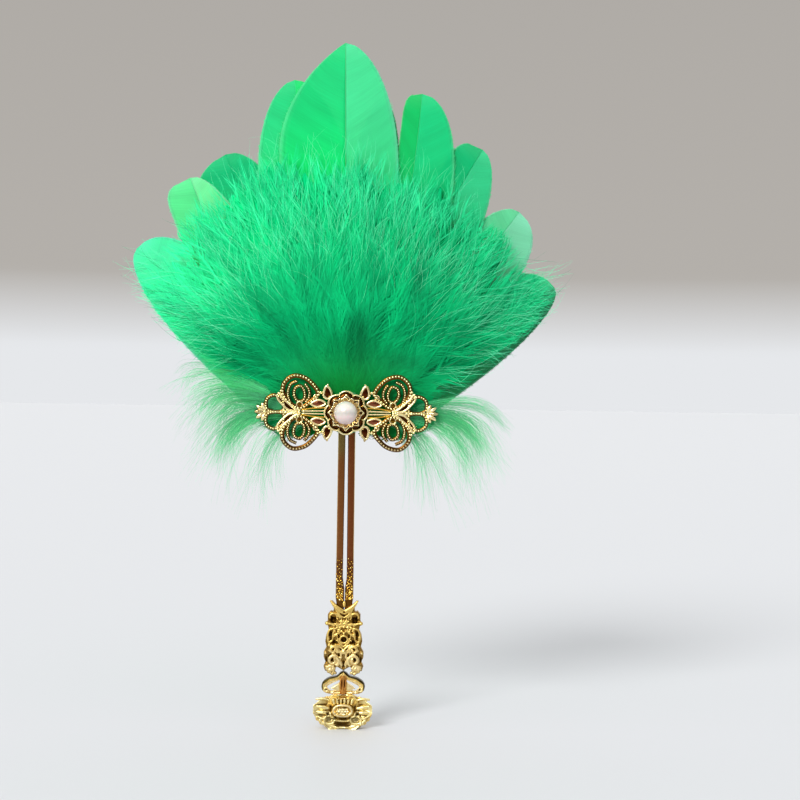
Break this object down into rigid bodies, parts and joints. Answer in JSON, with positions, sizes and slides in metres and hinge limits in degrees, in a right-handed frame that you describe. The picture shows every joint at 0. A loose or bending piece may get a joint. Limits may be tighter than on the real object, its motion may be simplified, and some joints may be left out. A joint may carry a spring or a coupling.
{
  "type": "feather hand fan",
  "caption": "Rigid hand fan of green vane feathers and fluffy plumes on a two-pronged gilt handle, with a pierced brooch, a pearl and a peony finial.",
  "frame": {"origin": "middle of the flat lower edge of the peony, where the fan stands, on the axis of the handle", "axes": "+Z along the handle to the tip of the centre feather, -Y out of the front face with the pearl, +X to the right seen from the front"},
  "size_m": [0.1941, 0.0301, 0.3144],
  "materials": {
    "handle_gold": "polished gilt casting, darker in the recesses",
    "brooch_gold": "polished gilt filigree stamping",
    "pearl": "imitation pearl, nacre sheen",
    "vane_feather": "dyed vane feather, translucent, with a fine barb grain",
    "plume": "dyed fluffy plume",
    "down": "loose translucent down",
    "felt": "pressed felt"
  },
  "bodies": {
    "root": {"prong_left": "handle_gold", "prong_right": "handle_gold", "tail_casting": "handle_gold", "cloud_arch": "handle_gold", "peony_backing": "handle_gold", "peony_petals": "handle_gold", "peony_heart": "handle_gold", "filigree_plate": "brooch_gold", "rosette": "brooch_gold", "pearl_cup": "brooch_gold", "pearl_pin": "brooch_gold", "pearl": "pearl", "feather_centre": "vane_feather", "feather_left_1": "vane_feather", "feather_right_1": "vane_feather", "feather_left_2": "vane_feather", "feather_right_2": "vane_feather", "feather_behind": "vane_feather", "feather_left_3": "vane_feather", "feather_right_3": "vane_feather", "feather_left_4": "vane_feather", "feather_right_4": "vane_feather", "plume_1": "plume", "plume_2": "plume", "plume_3": "plume", "plume_4": "plume", "plume_5": "plume", "plume_6": "plume", "plume_7": "plume", "ruff_plume_1": "plume", "ruff_plume_2": "plume", "ruff_plume_3": "plume", "ruff_plume_4": "plume", "ruff_plume_5": "plume", "ruff_plume_6": "plume", "tuft_left_outer": "down", "tuft_left_inner": "down", "tuft_right_outer": "down", "tuft_right_inner": "down", "back_felt": "felt", "front_felt": "felt"}
  },
  "joints": []
}
